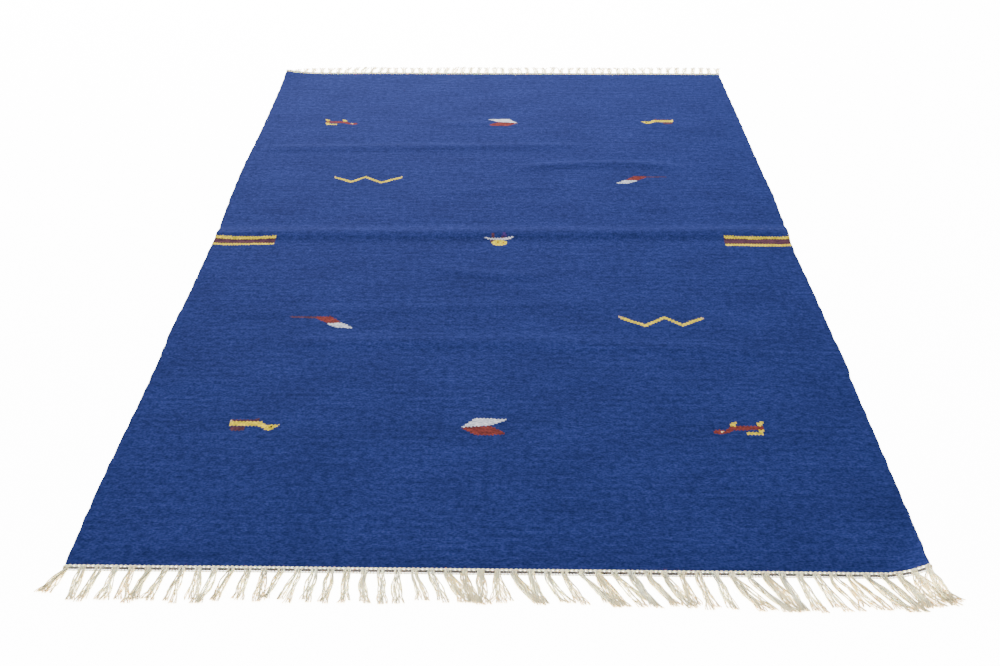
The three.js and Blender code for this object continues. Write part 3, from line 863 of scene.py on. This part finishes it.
angle = add_node(yarn_tree, "ShaderNodeMath", {0: angle.outputs[0], 1: start.outputs[1]}, operation="ADD")
angle = add_node(yarn_tree, "ShaderNodeMath", {0: angle.outputs[0], 1: 2 * math.pi}, operation="MULTIPLY")
spread = add_node(yarn_tree, "GeometryNodeInputNamedAttribute", {"Name": "loose"}, data_type="FLOAT")
aside = add_node(yarn_tree, "ShaderNodeMath", {0: angle.outputs[0]}, operation="COSINE")
aside = add_node(yarn_tree, "ShaderNodeMath",
                 {0: aside.outputs[0], 1: spread.outputs[0]}, operation="MULTIPLY")
lifted = add_node(yarn_tree, "ShaderNodeMath", {0: angle.outputs[0]}, operation="SINE")
lifted = add_node(yarn_tree, "ShaderNodeMath",
                  {0: lifted.outputs[0], 1: socket["Flatness"]}, operation="MULTIPLY")

# %% Yarn tree: wander and floor
place = add_node(yarn_tree, "GeometryNodeInputPosition")
apart = add_node(yarn_tree, "ShaderNodeMath",
                 {0: which.outputs["Curve Index"], 1: 3.7}, operation="MULTIPLY")
stir = add_node(yarn_tree, "ShaderNodeTexNoise",
                {"Vector": place.outputs[0], "W": apart.outputs[0], "Scale": 45.0, "Detail": 1.0},
                noise_dimensions="4D")
centred = add_node(yarn_tree, "ShaderNodeMath", {0: stir.outputs[0], 1: 0.5}, operation="SUBTRACT")
growing = add_node(yarn_tree, "ShaderNodeMath",
                   {0: centred.outputs[0], 1: passed.outputs["Factor"]}, operation="MULTIPLY")
stray = add_node(yarn_tree, "ShaderNodeMath",
                 {0: growing.outputs[0], 1: socket["Wander"]}, operation="MULTIPLY")
across = add_node(yarn_tree, "ShaderNodeMath", {0: aside.outputs[0], 1: stray.outputs[0]}, operation="ADD")
push = add_node(yarn_tree, "ShaderNodeCombineXYZ", {0: across.outputs[0], 2: lifted.outputs[0]})
moved = add_node(yarn_tree, "ShaderNodeVectorMath",
                 {0: place.outputs[0], 1: push.outputs[0]}, operation="ADD")
parts = add_node(yarn_tree, "ShaderNodeSeparateXYZ", {0: moved.outputs[0]})
above = add_node(yarn_tree, "ShaderNodeMath",
                 {0: parts.outputs[2], 1: socket["Yarn radius"]}, operation="MAXIMUM")
landed = add_node(yarn_tree, "ShaderNodeCombineXYZ",
                  {0: parts.outputs[0], 1: parts.outputs[1], 2: above.outputs[0]})
laid = add_node(yarn_tree, "GeometryNodeSetPosition",
                {"Geometry": copies.outputs[0], "Position": landed.outputs[0]})

# %% Yarn tree: yarn from the lines
marked = add_node(yarn_tree, "GeometryNodeStoreNamedAttribute",
                  {"Geometry": laid.outputs[0], "Name": "along", "Value": passed.outputs["Factor"]},
                  data_type="FLOAT", domain="POINT")
taper = add_node(yarn_tree, "ShaderNodeMapRange",
                 {0: passed.outputs["Factor"], 1: 0.8, 2: 1.0, 3: 1.0, 4: 0.6})
thin = add_node(yarn_tree, "GeometryNodeSetCurveRadius",
                {"Curve": marked.outputs[0], "Radius": taper.outputs[0]})
end_with_yarn(yarn_tree, thin.outputs[0], socket["Yarn radius"], socket["Sides"], socket["Material"])

# %% Fringes at both ends
fringes = {}
for end, where, lean_rows, tuft_rows, yarns in (
        (-1, "near", NEAR_LEAN, NEAR_TUFTS, 8), (1, "far", FAR_LEAN, FAR_TUFTS, 5)):
    lines, loose, tone = strands_of(end, np.array(lean_rows, float), tuft_rows, 20 + end)
    fringe = lines_piece(f"warp_ends_{where}", lines, loose=loose, tone=tone)
    grow(fringe, yarn_tree, Yarns=yarns, Yarn_radius=0.84 * MM, Turns=0.5, Flatness=0.9 * MM,
         Wander=16 * MM, Sides=5, Seed=11, Material=warp_cotton)
    fringes[where] = fringe

# %% [markdown]
# ## Studio floor
# The floor in the photograph is burnt out to plain white. A pale floor that only the lamps light would
# stay grey beside it, so this one gives off light of its own, and less of it where something lies within
# 5 mm above. That leaves a thin contact shadow round every yarn.

# %% Floor
FLOOR_REACH, FLOOR_TOP, SHADOW_REACH = 30, -0.2 * MM, 5 * MM
floor_material, floor_tree = new_material("White studio floor")
close = add_node(floor_tree, "ShaderNodeAmbientOcclusion", {"Distance": SHADOW_REACH}, samples=8)
glow = add_node(floor_tree, "ShaderNodeMapRange", {0: close.outputs["AO"], 3: 6.0, 4: 13.0})
lit = add_node(floor_tree, "ShaderNodeBsdfPrincipled",
               {"Base Color": (0.85, 0.85, 0.85, 1), "Roughness": 0.9, "Specular IOR Level": 0.1,
                "Emission Color": (1, 1, 1, 1), "Emission Strength": glow.outputs[0]})
add_node(floor_tree, "ShaderNodeOutputMaterial", {"Surface": lit.outputs[0]})
floor_corners = [(-1, -1), (1, -1), (1, 1), (-1, 1)]
floor = mesh_of("floor", [(x * FLOOR_REACH, y * FLOOR_REACH, FLOOR_TOP) for x, y in floor_corners],
                [[0, 1, 2, 3]])
floor.data.materials.append(floor_material)
floor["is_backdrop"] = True

# %% [markdown]
# ## Riding on one body
# Every piece rides on the rug's one body. The cloth and the two fringes stand for their CAD solids,
# which are hidden.

# %% Riding and standing for
pieces_on_cloth = [selvedges, *cords, fringes["near"], fringes["far"]]
for piece in [cloth, *pieces_on_cloth]:
    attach(piece, "root")
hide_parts("cloth")
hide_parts("fringe_near")
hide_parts("fringe_far")

# %% [markdown]
# ## Light and camera
# Folds only show where light comes from one side. The main softbox stands beyond the far end and above,
# so that slopes which face away from the camera are bright and the near end is a little darker. A wide
# one overhead and a pale world fill in, and a low strip in front lights the side of the fringe that faces
# the camera.

# %% Lights
def softbox(name, place, target, across, up, power):
    lamp = bpy.data.lights.new(name, "AREA")
    lamp.shape, lamp.size, lamp.size_y, lamp.energy = "RECTANGLE", across, up, power
    holder = bpy.data.objects.new(name, lamp)
    holder.location = place
    aim = Vector(target) - Vector(place)
    holder.rotation_euler = aim.to_track_quat("-Z", "Y").to_euler()
    bpy.context.scene.collection.objects.link(holder)


softbox("far softbox", (-1.1, 4.6, 2.7), (0, 0, 0), 1.7, 1.7, 735)
softbox("overhead softbox", (0.3, 0.9, 3.2), (0, 0.6, 0), 2.6, 2.6, 74)
softbox("low strip in front", (0, -1.36, 0.012), (0, -1.04, 0.004), 1.8, 0.02, 30)
world = bpy.data.worlds.new("pale studio")
world.use_nodes = True
world.node_tree.nodes["Background"].inputs[0].default_value = (1, 1, 1, 1)
world.node_tree.nodes["Background"].inputs[1].default_value = 0.5
bpy.context.scene.world = world

# %% Camera
# Worked out from where the rug's corners and the vanishing point of its sides are in the photograph
FOCAL_LENGTH, SENSOR_WIDTH = 35.21, 36.0
EYE, TILT, TURN = (0.011, -2.0194, 1.2605), math.radians(52.569), math.radians(0.403)
lens = bpy.data.cameras.new("camera")
lens.lens, lens.sensor_width = FOCAL_LENGTH, SENSOR_WIDTH
camera = bpy.data.objects.new("camera", lens)
camera.location = EYE
camera.rotation_euler = (TILT, 0, TURN)
bpy.context.scene.collection.objects.link(camera)
bpy.context.scene.camera = camera

# %% Size of the dressed rug
low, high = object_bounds()
print("visual box", [round(v, 4) for v in low], [round(v, 4) for v in high])
